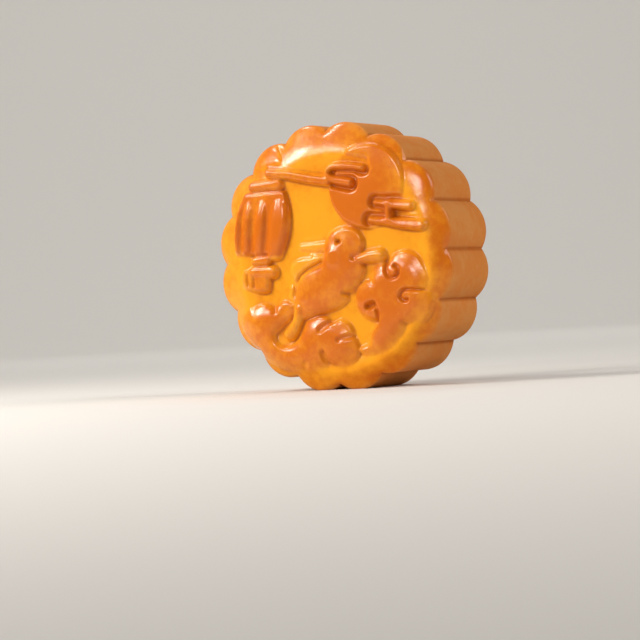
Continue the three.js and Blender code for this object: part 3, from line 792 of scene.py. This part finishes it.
wavering = combine("ADD", attribute("height"), spread(patches, 0.3, 0.7, -0.5, 0.5))
glaze_share = spread(wavering, wall_height - 0.6, wall_height + 1.4, 0, 1)
mottle = combine("ADD", patches, blotches)
wall_colour = mix_colour(spread(mottle, 0.8, 1.2, 0, 0.35), wall_tan, brown_orange)
tray_side = combine("ADD", attribute("height"), spread(mottle, 0.8, 1.2, 0.6, -0.6))
wall_colour = mix_colour(spread(tray_side, -0.2, 1.6, 0.6, 0), wall_colour, tray_brown)
whole_colour = mix_colour(glaze_share, wall_colour, glazed)
# Painted shade: the crevices, hollows and the wall's creases are darkened towards this brown
whole_colour = mix_colour(spread(attribute("crevice_shade"), 0.1, 0.9, 0, 0.6), whole_colour, shade_brown)
links.new(whole_colour, shader.inputs["Base Color"])

gloss = combine("ADD", spread(glaze_share, 0, 1, 0.7, 0.45), spread(pores, 0.3, 0.7, -0.04, 0.04))
links.new(gloss, shader.inputs["Roughness"])
shader.inputs["Specular IOR Level"].default_value = 0.05
shader.inputs["Coat Roughness"].default_value = 0.2
shader.inputs["Coat IOR"].default_value = 1.42
glaze_left = combine("MULTIPLY", glaze_share, spread(attribute("glaze"), 0, 1, 0.15, 1.0))
glaze_left = combine("MULTIPLY", glaze_left, spread(pores, 0.35, 0.6, 0.7, 1.0))
links.new(glaze_left, shader.inputs["Coat Weight"])

fine_bump = nodes.new("ShaderNodeBump")
fine_bump.inputs["Strength"].default_value = 0.2
fine_bump.inputs["Distance"].default_value = 0.00012
links.new(pores, fine_bump.inputs["Height"])
soft_bump = nodes.new("ShaderNodeBump")
soft_bump.inputs["Strength"].default_value = 0.12
soft_bump.inputs["Distance"].default_value = 0.0003
links.new(blotches, soft_bump.inputs["Height"])
links.new(fine_bump.outputs["Normal"], soft_bump.inputs["Normal"])
links.new(soft_bump.outputs["Normal"], shader.inputs["Normal"])
links.new(soft_bump.outputs["Normal"], shader.inputs["Coat Normal"])
skin.materials.append(crust)

cake = bpy.data.objects.new("mooncake_crust", skin)
bpy.context.scene.collection.objects.link(cake)
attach(cake, "root")
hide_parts("mooncake")

# -----------------------------------------------------------------------------
# The table, a plain pale sweep of paper that curves up into a wall a good way off
# on every side, so that no edge or corner shows behind the cake.
# -----------------------------------------------------------------------------
table_radius = 1.6
sweep_radius = 0.9
sweep_steps = 16
round_steps = 96

sweep_line = [(0.0, 0.0), (0.1, 0.0), (0.4, 0.0), (table_radius, 0.0)]
for step in range(1, sweep_steps + 1):
    bend = step / sweep_steps * math.pi / 2
    sweep_line.append((
        table_radius + sweep_radius * math.sin(bend),
        sweep_radius * (1 - math.cos(bend)),
    ))
sweep_line.append((table_radius + sweep_radius, 2.2))
table_vertices = [
    (r * math.cos(a), r * math.sin(a), z)
    for r, z in sweep_line[1:]
    for a in (2 * math.pi * i / round_steps for i in range(round_steps))
]
table_faces = [tuple(range(round_steps))]
for row in range(len(sweep_line) - 2):
    for i in range(round_steps):
        a, b = row * round_steps + i, row * round_steps + (i + 1) % round_steps
        table_faces.append((a, a + round_steps, b + round_steps, b))
table_mesh = bpy.data.meshes.new("table_sweep")
table_mesh.from_pydata(table_vertices, [], table_faces)
table_mesh.shade_smooth()
table = bpy.data.objects.new("table_sweep", table_mesh)
bpy.context.scene.collection.objects.link(table)
paper = bpy.data.materials.new("pale_paper")
paper.use_nodes = True
paper_shader = paper.node_tree.nodes["Principled BSDF"]
paper_shader.inputs["Base Color"].default_value = (0.72, 0.70, 0.67, 1)
paper_shader.inputs["Roughness"].default_value = 0.9
table_mesh.materials.append(paper)

# -----------------------------------------------------------------------------
# The studio light: small soft boxes at the left for the face, for the upper side of
# the pole and bands and for the top of the border, one in front, a large weak one
# for the wall of the cake at its right and one for the paper behind.
# -----------------------------------------------------------------------------
cake_middle = Vector((0.0, 0.0, axis_height * MM))


def soft_box(name, direction, distance, size, power, tint, heading=None):
    """A soft light that looks at the middle of the cake, or along a heading of its own. In watts."""
    lamp = bpy.data.lights.new(name, "AREA")
    lamp.shape = "RECTANGLE"
    lamp.size, lamp.size_y = size
    lamp.energy = power
    lamp.color = tint
    holder = bpy.data.objects.new(name, lamp)
    away = Vector(direction).normalized()
    holder.location = cake_middle + away * distance
    facing = -Vector(heading) if heading else away
    holder.rotation_euler = facing.to_track_quat("Z", "Y").to_euler()
    bpy.context.scene.collection.objects.link(holder)


lamp_white = (1.0, 0.96, 0.9)
soft_box("key_box", (-0.64, -0.61, 0.47), 0.5, (0.07, 0.09), 1.15, lamp_white)
soft_box("near_box", (-0.45, -0.77, 0.46), 0.5, (0.055, 0.055), 0.45, lamp_white)
soft_box("top_box", (-0.55, -0.3, 0.78), 0.5, (0.1, 0.05), 0.75, lamp_white)
soft_box("front_box", (0.0, -0.94, 0.33), 0.6, (0.08, 0.08), 0.85, (1.0, 0.96, 0.92))
soft_box("wall_box", (0.85, 0.1, 0.55), 0.9, (0.5, 0.5), 4.2, (1.0, 0.97, 0.94))
soft_box("backdrop_box", (-0.4, 0.6, 1.0), 1.7, (1.4, 1.4), 18, (1.0, 0.98, 0.95), (-0.35, 0.55, -0.8))

world = bpy.data.worlds.new("studio_air")
bpy.context.scene.world = world
world.use_nodes = True
world.node_tree.nodes["Background"].inputs["Color"].default_value = (1.0, 0.98, 0.95, 1)
world.node_tree.nodes["Background"].inputs["Strength"].default_value = 0.09
bpy.context.scene.view_settings.view_transform = "Standard"

# -----------------------------------------------------------------------------
# The camera, level with the lower part of the cake and to the right of its face,
# rolled a few degrees.
# -----------------------------------------------------------------------------
image_width = 640
focal_pixels = 2300
camera_place = (0.34336, -0.59493, 0.02098)
camera_right = (0.857425, 0.511417, -0.057223)
camera_up = (0.049024, 0.029516, 0.998361)
camera_back = (0.512268, -0.858825, 0.000236)

camera = bpy.data.cameras.new("camera")
camera.sensor_width = 36
camera.lens = camera.sensor_width * focal_pixels / image_width
camera.clip_start = 0.01
view_point = bpy.data.objects.new("camera", camera)
bpy.context.scene.collection.objects.link(view_point)
turned = Matrix((camera_right, camera_up, camera_back)).transposed()
view_point.matrix_world = Matrix.Translation(camera_place) @ turned.to_4x4()
bpy.context.scene.camera = view_point
